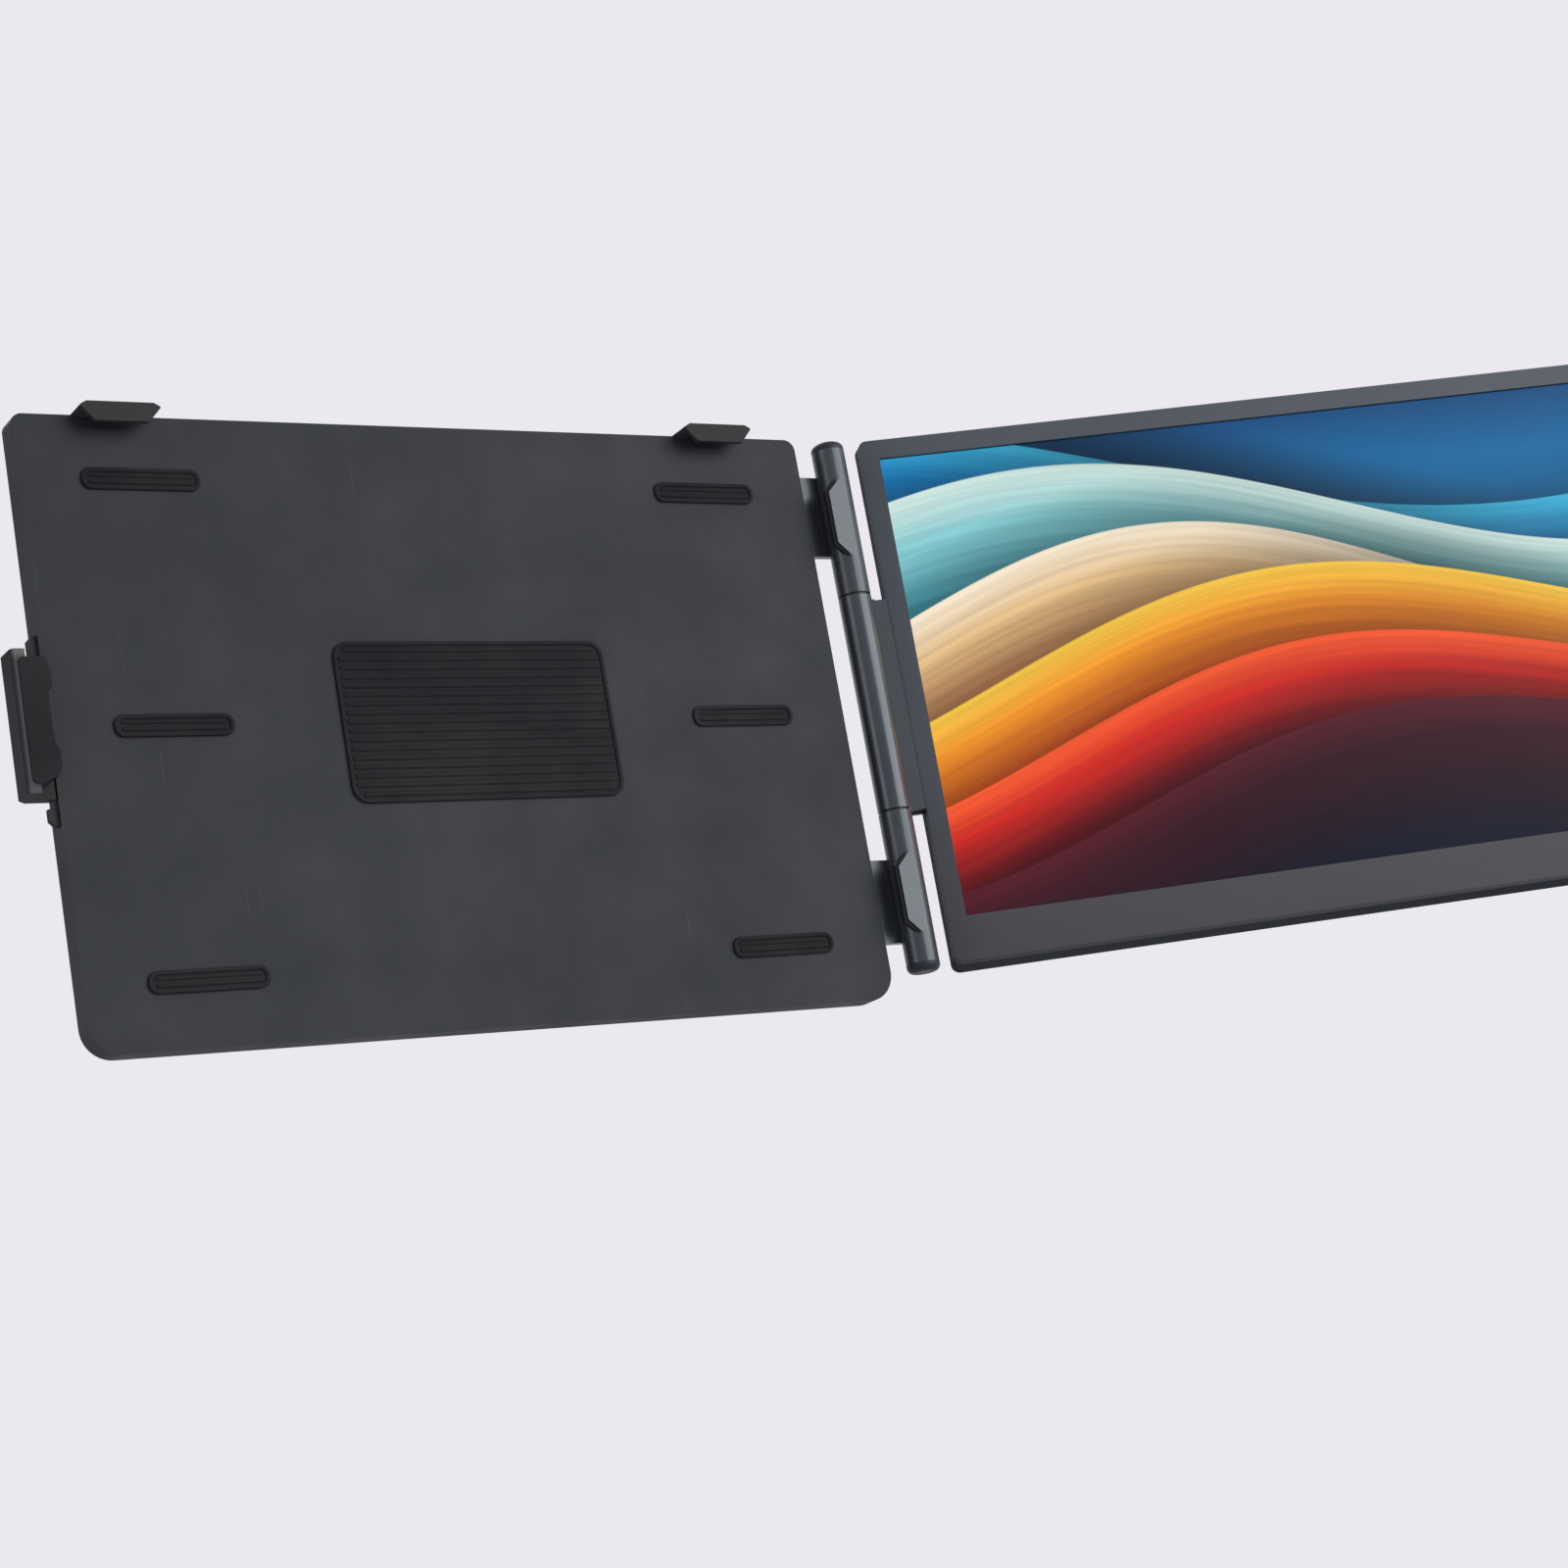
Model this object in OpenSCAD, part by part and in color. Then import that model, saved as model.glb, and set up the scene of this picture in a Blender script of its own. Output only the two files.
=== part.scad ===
// Laptop screen extender: a back plate that clips onto a laptop's lid, three sliding claws,
// a kickstand, and an extra screen on a barrel hinge along the lid's right edge.
// X runs across the lid, -Y is the side that the user sees, Z runs up the lid.
// The origin is the centre of the seat pad that the lid's back rests on.

/* [Laptop lid] */
// Width of the lid that the claws are set to
lid_w = 330; // [320:1:345]
// Height of the lid that the top claws are set to
lid_h = 223; // [213:1:224]
// Thickness of the lid between the claws' lips and the seat pad
lid_t = 5.2; // [4.6:0.1:5.4]

/* [Back plate] */
// Height of the back plate
plate_h = 227; // [225:1:231]
// Distance from the lid's centre to the plate's left edge
plate_left = 162.8; // [158:0.1:164]
// Distance from the lid's centre to the plate's right edge
plate_right = 158; // [154:0.5:159]
// Thickness of the closed plate
plate_t = 9; // [8.6:0.1:11]
// Radius of the plate's upper corners
plate_corner = 4.5; // [3:0.5:12]
// Radius of the plate's lower corners
plate_foot_corner = 11; // [4:0.5:14]
// Wall thickness of both plate covers
plate_wall = 1.4; // [1.2:0.1:1.6]
// Thickness of the seat pads between plate and lid
pad_t = 1; // [0.8:0.1:1.2]

/* [Claws] */
// Height of the left claw's jaw
left_jaw_h = 50.4; // [40:0.2:56]
// Height of the left claw's arm
left_arm_h = 67; // [60:1:70]
// Width of a top claw at its root
top_jaw_w = 29.4; // [26:0.2:36]
// Distance of the left top claw from the lid's centre
top_claw_left_x = 125.4; // [110:0.2:135]
// Distance of the right top claw from the lid's centre
top_claw_right_x = 118.2; // [105:0.2:125]
// Overlap of a claw's lip over the lid's front
lip_overlap = 2; // [1.5:0.1:3]

/* [Hinge] */
// Distance from the lid's edge to the hinge axis
hinge_out = 7; // [6.9:0.1:8]
// Radius of the hinge barrel
barrel_r = 6.5; // [6.2:0.1:6.6]
// Length of the whole barrel
barrel_len = 215.6; // [210:0.2:218]
// Length of the middle knuckle, which turns with the screen
middle_len = 86.8; // [70:0.2:90]
// Radius of the hinge shaft
shaft_r = 2.5; // [2.2:0.1:2.8]
// Angle between the laptop's lid and the extra screen
open_angle = 158.6; // [90:0.1:180]

/* [Extra screen] */
// Width of the lit area
active_w = 301.6; // [290:0.1:310]
// Height of the lit area
active_h = 188.5; // [180:0.1:190]
// Bezel at each side of the lit area
side_bezel = 8.05; // [6:0.05:10]
// Bezel above the lit area
top_bezel = 8.1; // [6:0.1:10]
// Height from the screen's lowest edge to the lit area
chin = 21; // [16:0.1:24]
// How far the underside drops from the front face to the lowest edge
chin_drop = 3.1; // [0:0.1:4]
// Thickness of the screen
screen_t = 10.8; // [10.4:0.1:12]
// Radius of the screen's corners
screen_corner = 3.4; // [3:0.2:9]

/* [Kickstand] */
// Width of the kickstand's leg
stand_w = 110; // [80:1:120]
// Length of the kickstand's leg below its pin
stand_len = 96; // [80:1:100]

/* [Hidden] */

$fn = 48;
// Overshoot of a cut past the face that it opens
cut = 0.5;

// Colours
plate_grey = "#3a3c40";
claw_black = "#2b2c2f";
rubber_black = "#1b1c1e";
hinge_grey = "#5d646a";
bezel_grey = "#474a50";
housing_grey = "#4b4e53";
steel = "#b9bcc0";
nylon_black = "#161719";
panel_black = "#101114";
glow = "#3fa7d6";
board_green = "#1f5a3c";

// Plate levels along Y, counted from the seat's face at y = 0
front_y = pad_t;
inner_front_y = front_y + plate_wall;
split_y = front_y + 4.4;
back_y = front_y + plate_t;
inner_back_y = back_y - plate_wall;
plate_mid_x = (plate_right - plate_left) / 2;
plate_w = plate_left + plate_right;
rim = 1.6;

// Sliding arms
arm_t = 2.2;
arm_y = inner_front_y + 0.2;
arm_gap = 0.3;
arm_reach = 88;
left_arm_in_x = -plate_left + arm_reach;
left_arm_out_x = -plate_left - 3.4;
left_arm_z = -0.5;
left_arm_z0 = left_arm_z - left_arm_h / 2;
left_arm_z1 = left_arm_z + left_arm_h / 2;
top_arm_w = 20;
top_arm_z0 = 62;
track_wall = 2;
spring_t = 0.3;
jaw_slot = 2;

// Claw jaws
lip_t = 2.1;
liner_t = 0.7;
jaw_front_y = -lid_t - liner_t - lip_t;
jaw_back_y = 5.2;
left_wall_x = -lid_w / 2 - 0.2;
left_outer_x = -lid_w / 2 - 11.3;
left_tip_x = -lid_w / 2 + lip_overlap;
wrap_t = 1;
lobe_t = 2.4;
pad_half_h = 22.4;
pad_corner = 2.8;
pad_inset = 1.9;
pad_ease = 2.2;
pad_slope = 3;
upper_lobe_z = [18.4, 12.1, 9.9];
lower_lobe_z = [-8.2, -10.6, -16, -19.8, -21];
claw_end_x = left_outer_x + 4.9;
claw_foot_x = -plate_left - 0.8;
claw_foot_y = 0.9;
top_jaw_gap = 0.3;
top_seat_z = lid_h / 2 + 0.3;
top_jaw_z1 = plate_h / 2 + 2;
top_tip_z = lid_h / 2 - 3.2;
top_corner_w = 2.3;
top_side_h = 1.3;
top_taper = 4.8;
jaw_screw_r = 0.9;
jaw_screw_z = 17;
jaw_screw_in = 6.2;

// Hinge
hinge_x = lid_w / 2 + hinge_out;
hinge_y = -1;
hinge_z = 3.3;
shaft_clearance = 0.05;
washer_t = 1;
knuckle_z0 = middle_len / 2 + washer_t;
cap_t = 3.4;
knuckle_z1 = barrel_len / 2 - cap_t;
stack_z0 = 62;
stack_bore_r = 4.9;
disc_r = 4.5;
disc_t = 0.6;
disc_pitch = 0.65;
disc_count = 8;
nut_t = 3;
shaft_half = stack_z0 + disc_count * disc_pitch + nut_t + 1.5;
upper_claw_z = 75.1;
lower_claw_z = 77.5;
claw_root_h = 32.4;
claw_tip_h = 21;
claw_tab_t = 1.6;
claw_face_y = hinge_y - barrel_r;
claw_tip_x = lid_w / 2 - 0.3;
claw_slope_x = hinge_x - 1.4;
claw_pad_grow = 1.4;
claw_pad_y = claw_face_y + 0.6;
leaf_t = 3;
leaf_y = inner_front_y;
leaf_in_x = 136;
leaf_z0 = 62;
leaf_z1 = 95;
leaf_screw_x = 143;

// Extra screen, in a frame whose origin is on the hinge axis with the screen level with the lid
screen_gap = 14.9;
screen_front = 8.2;
screen_back = screen_front + screen_t;
screen_w = active_w + 2 * side_bezel;
screen_h = active_h + top_bezel + chin;
screen_z = 1.7;
screen_x = screen_gap + screen_w / 2;
active_z = screen_z + (chin - top_bezel) / 2;
bezel_t = 1.2;
bezel_lip = 2.4;
clip_w = 12;
clip_x = [60, 130, 218, 288];
bezel_split = screen_front + 2.6;
window_side = 0.3;
window_top = 0.3;
window_bottom = 0.4;
housing_wall = 1.5;
edge_back = screen_front + 8.2;
back_inset = 3;
right_inset = 1.2;
layer_t = 0.1;
loft_fn = 36;
film_t = 0.2;
panel_t = 1.2;
panel_border = 3.4;
panel_front = screen_front + bezel_t + film_t;
guide_t = 1.35;
guide_front = panel_front + panel_t + 0.05;
board_front = screen_front + 7.45;
board_t = 0.8;
chip_t = 1;
board_w = 118;
board_h = 46;
right_x = screen_gap + screen_w;
board_x = right_x - housing_wall - 0.9 - board_w / 2;
board_z = -62;
panel_z0 = active_z - active_h / 2 - panel_border;
port_y = board_front - 0.05 - 1.6;
port_t = 3.2;
usb_w = 8.9;
usb_depth = 7.4;
usb_z = [-76, -60];
hdmi_w = 11.2;
hdmi_z = -42;
key_z = [20, 34, 46];
key_w = [9, 7, 7];
key_t = 2.6;
key_travel = 0.6;
key_proud = 0.9;
key_flange_gap = 0.6;
key_y = port_y;
switch_depth = 2.4;
key_board_x = right_x - 7.2;
led_z = 8;
speaker_x = [70, 262];
speaker_z = -97.3;
link_z = middle_len / 2 - 0.2;
link_in_x = screen_gap + 32;
link_in_y = screen_front + 4.25;
link_in_t = 1.8;
link_head_t = 0.6;
link_bar_up = 1;
link_screw_z = [-30, -10, 10, 30];
link_screw_x = screen_gap + 26;
housing_screw_x = [28, 112, 236, right_x - 12];
housing_screw_z = -97.8;

// Kickstand
stand_x = 52;
stand_z = 6;
stand_leg_t = 2.4;
stand_leg_y = back_y - 0.1 - stand_leg_t;
stand_pin_r = 1;
stand_pin_y = back_y - 1.9;
stand_knuckle_r = 1.9;
stand_gap = 0.4;
pocket_floor = 1.2;
trough_r = stand_knuckle_r + 0.3;
lug_w = 6;
foot_h = 7;

// Fasteners
screw_r = 0.9;
screw_head_r = 1.9;
screw_head_t = 0.8;
boss_r = 3;
plate_screw_x = [-150, -50, 40, 146];
plate_screw_z = [-105, 105];

// ---- helpers ----

// Rectangle with round corners, centred on the origin
module round_rect(w, h, r) {
    square([w - 2 * r, h], center = true);
    square([w, h - 2 * r], center = true);
    for (sx = [-1, 1], sz = [-1, 1])
        translate([sx * (w / 2 - r), sz * (h / 2 - r)])
            circle(r);
}

// Turns an outline drawn in X and Z into a slab that starts at depth y and is t thick
module slab(y, t) {
    translate([0, y + t, 0])
        rotate([90, 0, 0])
            linear_extrude(t)
                children();
}

// Turns a profile drawn in X and Y into a bar from z0 to z1
module bar(z0, z1) {
    translate([0, 0, z0])
        linear_extrude(z1 - z0)
            children();
}

// Turns a profile drawn in Y and Z into a bar from x0 to x1
module cross_bar(x0, x1) {
    translate([x0, 0, 0])
        rotate([90, 0, 90])
            linear_extrude(x1 - x0)
                children();
}

// Box given by its two opposite corners
module box(a, b) {
    translate(a)
        cube(b - a);
}

// Round bar along Y
module y_rod(x, z, r, y0, y1) {
    translate([x, y1, z])
        rotate([90, 0, 0])
            cylinder(r = r, h = y1 - y0);
}

// Puts children in the frame of the extra screen
module in_screen() {
    translate([hinge_x, hinge_y, hinge_z])
        rotate([0, 0, open_angle - 180])
            children();
}

module plate_outline(inset) {
    half_w = plate_w / 2 - inset;
    half_h = plate_h / 2 - inset;
    top_r = plate_corner - inset;
    foot_r = plate_foot_corner - inset;
    translate([plate_mid_x, 0])
        for (s = [0, 1])
            mirror([s, 0]) {
                polygon([[0, half_h], [half_w - top_r, half_h], [half_w - top_r, half_h - top_r],
                    [half_w, half_h - top_r], [half_w, foot_r - half_h],
                    [half_w - foot_r, foot_r - half_h], [half_w - foot_r, -half_h],
                    [0, -half_h]]);
                translate([half_w - top_r, half_h - top_r])
                    circle(top_r);
                translate([half_w - foot_r, foot_r - half_h])
                    circle(foot_r);
            }
}

// How far the sloped underside lies above the screen's lowest edge at depth y
function rise(y) = chin_drop * max(0, edge_back - y) / (edge_back - screen_front);

// Outline of the screen at depth y
module screen_outline(y, inset) {
    translate([screen_x, screen_z + rise(y) / 2])
        round_rect(screen_w - 2 * inset, screen_h - rise(y) - 2 * inset, screen_corner - inset,
            $fn = loft_fn);
}

// Form of the screen between the depths y0 and y1, both in front of its back edge
module screen_body(y0, y1, inset) {
    hull() {
        slab(y0, layer_t)
            screen_outline(y0, inset);
        slab(y1 - layer_t, layer_t)
            screen_outline(y1, inset);
    }
}

module at_plate_screws() {
    for (x = plate_screw_x, z = plate_screw_z)
        translate([x, 0, z])
            children();
}

module at_leaf_screws() {
    for (s = [-1, 1], z = [leaf_z0 + 8, leaf_z1 - 8])
        translate([leaf_screw_x, 0, hinge_z + s * z])
            children();
}

module at_housing_screws() {
    for (x = housing_screw_x)
        translate([x, 0, housing_screw_z])
            children();
}

// ---- back plate ----

// Openings in the plate's rim for the three arms
module arm_slots() {
    box([-plate_left - cut, arm_y - 0.15, left_arm_z0 - arm_gap],
        [-plate_left + rim + cut, arm_y + arm_t + 0.15, left_arm_z1 + arm_gap]);
    for (x = [-top_claw_left_x, top_claw_right_x])
        box([x - top_arm_w / 2 - arm_gap, arm_y - 0.15, plate_h / 2 - rim - cut],
            [x + top_arm_w / 2 + arm_gap, arm_y + arm_t + 0.15, plate_h / 2 + cut]);
}

// Openings in the plate's rim for the leaves of the two fixed knuckles
module leaf_slots() {
    for (s = [0, 1])
        translate([0, 0, hinge_z])
            mirror([0, 0, s])
                box([plate_right - rim - cut, leaf_y, leaf_z0],
                    [plate_right + cut, leaf_y + leaf_t, leaf_z1]);
}

module plate_front_cover() {
    color(plate_grey)
    difference() {
        union() {
            difference() {
                slab(front_y, split_y - front_y)
                    plate_outline(0);
                slab(inner_front_y, plate_t)
                    plate_outline(rim);
            }
            at_plate_screws()
                y_rod(0, 0, boss_r, inner_front_y - 0.2, split_y);
        }
        at_plate_screws()
            y_rod(0, 0, screw_r, front_y + 0.9, split_y + cut);
        at_leaf_screws()
            y_rod(0, 0, screw_r, front_y + 0.5, split_y);
        arm_slots();
        leaf_slots();
    }
}

// Outline of the recess that the kickstand folds into
module stand_pocket(grow) {
    translate([stand_x, stand_z - stand_len / 2])
        square([stand_w + 2 * (stand_gap + grow), stand_len + 2 * (stand_gap + grow)],
            center = true);
}

// Outline of the thumb notch below the leg's free end
module thumb_notch(grow) {
    translate([stand_x, stand_z - stand_len])
        circle(11 + grow);
}

// Trough round the kickstand's pin, between and beside the lugs
module stand_trough(r, half_w) {
    translate([stand_x - half_w, stand_pin_y, stand_z])
        rotate([0, 90, 0])
            cylinder(r = r, h = 2 * half_w);
}

module plate_back_cover() {
    pocket_y = stand_leg_y - 0.3;
    color(plate_grey)
    difference() {
        union() {
            difference() {
                slab(split_y, back_y - split_y)
                    plate_outline(0);
                slab(split_y - cut, inner_back_y - split_y + cut)
                    plate_outline(rim);
            }
            at_plate_screws()
                y_rod(0, 0, boss_r, split_y, inner_back_y + 0.2);
            slab(pocket_y - pocket_floor, inner_back_y - pocket_y + pocket_floor + 0.2)
                stand_pocket(pocket_floor);
            slab(pocket_y - pocket_floor, inner_back_y - pocket_y + pocket_floor + 0.2)
                thumb_notch(pocket_floor);
            intersection() {
                stand_trough(trough_r + pocket_floor, stand_w / 2 + stand_gap + lug_w);
                box([stand_x - stand_w, inner_front_y, stand_z - 10],
                    [stand_x + stand_w, back_y, stand_z + 10]);
            }
        }
        slab(pocket_y, plate_t)
            stand_pocket(0);
        stand_trough(trough_r, stand_w / 2 + stand_gap);
        box([stand_x - stand_w / 2 - stand_gap, stand_pin_y, stand_z - trough_r],
            [stand_x + stand_w / 2 + stand_gap, back_y + cut, stand_z + trough_r]);
        // holes for the pin's ends
        stand_trough(stand_pin_r + shaft_clearance, stand_w / 2 + lug_w - 2);
        slab(pocket_y, plate_t)
            thumb_notch(0);
        at_plate_screws() {
            y_rod(0, 0, screw_r + 0.2, split_y - cut, back_y);
            y_rod(0, 0, screw_head_r + 0.2, back_y - screw_head_t - 0.1, back_y + cut);
        }
    }
}

module lid_seat_pad() {
    color(rubber_black)
    slab(0, pad_t)
        round_rect(110, 60, 6);
}

module seat_strips() {
    color(rubber_black)
    for (x = [-118, 112], z = [-90, 0, 90])
        slab(0, pad_t)
            translate([x, z])
                round_rect(44, 8, 3.5);
}

// Channel that an arm slides in, with its arm running from the origin towards -X
module track(reach, width) {
    inner = width / 2 + arm_gap;
    outer = inner + track_wall;
    for (s = [-1, 1])
        box([rim + 0.2, inner_front_y, min(s * inner, s * outer)],
            [reach + 3, split_y - 0.1, max(s * inner, s * outer)]);
    box([reach + 1, inner_front_y, -outer], [reach + 3, split_y - 0.1, outer]);
}

module left_track() {
    color(nylon_black)
    translate([-plate_left, 0, left_arm_z])
        track(arm_reach, left_arm_h);
}

module top_track(x) {
    color(nylon_black)
    translate([x, 0, plate_h / 2])
        rotate([0, 90, 0])
            track(plate_h / 2 - top_arm_z0, top_arm_w);
}

// Leaf spring that presses on an arm: a shallow arch between two feet
module detent_spring() {
    low = arm_y + arm_t + 0.1;
    high = inner_back_y;
    cross_bar(-4, 4)
        polygon([[high, -16], [high, -12], [low + spring_t, -2], [low + spring_t, 2],
            [high, 12], [high, 16], [high - spring_t, 16], [high - spring_t, 12.2],
            [low, 2.2], [low, -2.2], [high - spring_t, -12.2], [high - spring_t, -16]]);
}

module detent_springs() {
    color(steel) {
        for (x = [-top_claw_left_x, top_claw_right_x])
            translate([x, 0, plate_h / 2 - 24])
                detent_spring();
        translate([-plate_left + 24, 0, left_arm_z])
            rotate([0, 90, 0])
                detent_spring();
    }
}

// Screw along Y, cross-slotted, with its head at the higher Y
module screw(y0, y1) {
    y_rod(0, 0, screw_r, y0, y1);
    difference() {
        y_rod(0, 0, screw_head_r, y1, y1 + screw_head_t);
        box([-1.2, y1 + 0.35, -0.25], [1.2, y1 + screw_head_t + cut, 0.25]);
        box([-0.25, y1 + 0.35, -1.2], [0.25, y1 + screw_head_t + cut, 1.2]);
    }
}

module plate_screws() {
    color(steel)
    at_plate_screws()
        screw(front_y + 1.2, back_y - screw_head_t - 0.1);
}

// ---- hinge ----

// Outline of a fixed claw in X and Z, made larger by grow on its three free sides
module claw_outline(grow) {
    root = claw_root_h / 2 + grow;
    tip = claw_tip_h / 2 + grow / 2;
    polygon([[hinge_x, -root], [hinge_x, root], [claw_slope_x, root],
        [claw_tip_x - grow, tip], [claw_tip_x - grow, -tip], [claw_slope_x, -root]]);
}

// Metal of a fixed claw, on the lid's side of the barrel
module claw_tab(claw_z) {
    slab(claw_face_y, claw_tab_t)
        translate([0, claw_z])
            claw_outline(0);
}

// Fixed knuckle above the middle one: a tube, a claw over the lid and a leaf into the plate
module knuckle(claw_z) {
    color(hinge_grey)
    difference() {
        union() {
            translate([hinge_x, hinge_y, knuckle_z0])
                cylinder(r = barrel_r, h = knuckle_z1 - knuckle_z0);
            claw_tab(claw_z);
            box([leaf_in_x, leaf_y, leaf_z0], [hinge_x, leaf_y + leaf_t, leaf_z1]);
        }
        translate([hinge_x, hinge_y, knuckle_z0 - cut])
            cylinder(r = shaft_r + shaft_clearance, h = stack_z0 - knuckle_z0 + 2 * cut);
        translate([hinge_x, hinge_y, stack_z0])
            cylinder(r = stack_bore_r, h = knuckle_z1 - stack_z0 + cut);
        for (z = [leaf_z0 + 8, leaf_z1 - 8])
            y_rod(leaf_screw_x, z, screw_r + 0.1, leaf_y - cut, leaf_y + leaf_t + cut);
    }
}

module upper_knuckle() {
    translate([0, 0, hinge_z])
        knuckle(upper_claw_z);
}

module lower_knuckle() {
    translate([0, 0, hinge_z])
        mirror([0, 0, 1])
            knuckle(lower_claw_z);
}

// Round-ended plug that closes a fixed knuckle's outer end
module end_cap() {
    plug_t = 4;
    edge_r = 2.6;
    translate([hinge_x, hinge_y, knuckle_z1])
        rotate_extrude()
            union() {
                translate([0, -plug_t])
                    square([stack_bore_r, plug_t]);
                square([barrel_r - edge_r, cap_t]);
                square([barrel_r, cap_t - edge_r]);
                intersection() {
                    translate([barrel_r - edge_r, cap_t - edge_r])
                        circle(edge_r);
                    square([barrel_r, cap_t]);
                }
            }
}

module barrel_end_caps() {
    color(hinge_grey)
    translate([0, 0, hinge_z])
        for (s = [0, 1])
            mirror([0, 0, s])
                end_cap();
}

module knuckle_screws() {
    color(steel)
    at_leaf_screws()
        screw(front_y + 0.7, leaf_y + leaf_t);
}

// Rubber under a fixed claw, which also stands out round its three free sides
module claw_pad(claw_z) {
    difference() {
        slab(claw_pad_y, -lid_t - claw_pad_y)
            translate([0, claw_z])
                claw_outline(claw_pad_grow);
        claw_tab(claw_z);
        translate([hinge_x, hinge_y, 0])
            cylinder(r = barrel_r, h = barrel_len);
    }
}

module fixed_claw_pads() {
    color(rubber_black)
    translate([0, 0, hinge_z]) {
        claw_pad(upper_claw_z);
        mirror([0, 0, 1])
            claw_pad(lower_claw_z);
    }
}

module hinge_link() {
    web_x = 3;
    web_back = screen_front + 3.2;
    bar_back = screen_front + 5.2;
    color(hinge_grey)
    in_screen()
    difference() {
        union() {
            translate([0, 0, -middle_len / 2])
                cylinder(r = barrel_r, h = middle_len);
            box([-web_x, 3, -link_z], [barrel_r + 2, web_back, link_z]);
            box([0, screen_front + 0.1, link_bar_up - link_z],
                [screen_gap, bar_back, link_bar_up + link_z]);
            box([0, link_in_y, -link_z], [link_in_x, link_in_y + link_in_t, link_z]);
        }
        translate([0, 0, -middle_len])
            cylinder(r = shaft_r, h = 2 * middle_len);
        for (z = link_screw_z) {
            y_rod(link_screw_x, z, screw_r, screen_front, screen_back);
            y_rod(link_screw_x, z, screw_head_r, screen_front, link_in_y + link_head_t);
        }
    }
}

module hinge_shaft() {
    color(steel)
    in_screen()
    translate([0, 0, -shaft_half])
        cylinder(r = shaft_r, h = 2 * shaft_half);
}

module hinge_washers() {
    color(nylon_black)
    in_screen()
    for (s = [0, 1])
        mirror([0, 0, s])
            difference() {
                translate([0, 0, middle_len / 2])
                    cylinder(r = barrel_r - 0.6, h = washer_t - 0.05);
                cylinder(r = shaft_r, h = barrel_len);
            }
}

module friction_discs() {
    color(steel)
    in_screen()
    for (s = [0, 1])
        mirror([0, 0, s])
            for (i = [0 : disc_count - 1])
                difference() {
                    translate([0, 0, stack_z0 + 0.05 + i * disc_pitch])
                        cylinder(r = disc_r, h = disc_t);
                    cylinder(r = shaft_r, h = barrel_len);
                }
}

module shaft_nuts() {
    color(steel)
    in_screen()
    for (s = [0, 1])
        mirror([0, 0, s])
            difference() {
                translate([0, 0, stack_z0 + disc_count * disc_pitch + 0.05])
                    cylinder(r = disc_r, h = nut_t, $fn = 6);
                cylinder(r = shaft_r, h = barrel_len);
            }
}

module link_screws() {
    color(steel)
    in_screen()
    for (z = link_screw_z)
        union() {
            y_rod(link_screw_x, z, screw_head_r, link_in_y, link_in_y + link_head_t);
            y_rod(link_screw_x, z, screw_r, link_in_y, screen_back - housing_wall - 0.2);
        }
}

// ---- claws ----

module left_arm() {
    tongue_z = left_jaw_h / 2 - jaw_slot;
    tongue_x = left_outer_x + 3;
    nub = 1.8;
    nub_h = 6;
    neck_x = -plate_left - 0.3;
    color(claw_black)
    difference() {
        slab(arm_y, arm_t)
            polygon([[left_arm_in_x, left_arm_z0], [left_arm_in_x, left_arm_z1],
                [left_arm_out_x + nub, left_arm_z1], [left_arm_out_x, left_arm_z1 - nub],
                [left_arm_out_x, tongue_z], [tongue_x, tongue_z], [tongue_x, -tongue_z],
                [neck_x, -tongue_z], [neck_x, left_arm_z0 + nub_h],
                [left_arm_out_x, left_arm_z0 + nub_h], [left_arm_out_x, left_arm_z0 + nub],
                [left_arm_out_x + nub, left_arm_z0]]);
        for (z = [-jaw_screw_z, jaw_screw_z])
            y_rod(left_outer_x + jaw_screw_in, z, jaw_screw_r, 0, back_y);
    }
}

// Outline of the left claw's rubber in X and Z: a lobe near each end of its lip, all corners eased
module left_pad_outline() {
    centre_x = left_outer_x + pad_inset + pad_corner;
    centre_z = pad_half_h - pad_corner;
    waist_x = left_tip_x - lobe_t + 0.4;
    ease_x = left_tip_x - pad_ease;
    upper_lobe = [[ease_x, pad_half_h], [left_tip_x, upper_lobe_z[0]],
        [left_tip_x, upper_lobe_z[1]], [waist_x, upper_lobe_z[2]]];
    lower_lobe = [[waist_x, lower_lobe_z[0]], [left_tip_x, lower_lobe_z[1]],
        [left_tip_x, lower_lobe_z[2]], [ease_x, lower_lobe_z[3]],
        [ease_x - pad_slope, lower_lobe_z[4]]];
    polygon(concat(
        [for (a = [180:-15:90])
            [centre_x + pad_corner * cos(a), centre_z + pad_corner * sin(a)]],
        upper_lobe, lower_lobe, [[claw_end_x, -pad_half_h]],
        [for (a = [270:-15:180])
            [centre_x + pad_corner * cos(a), -centre_z + pad_corner * sin(a)]]));
}

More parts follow.
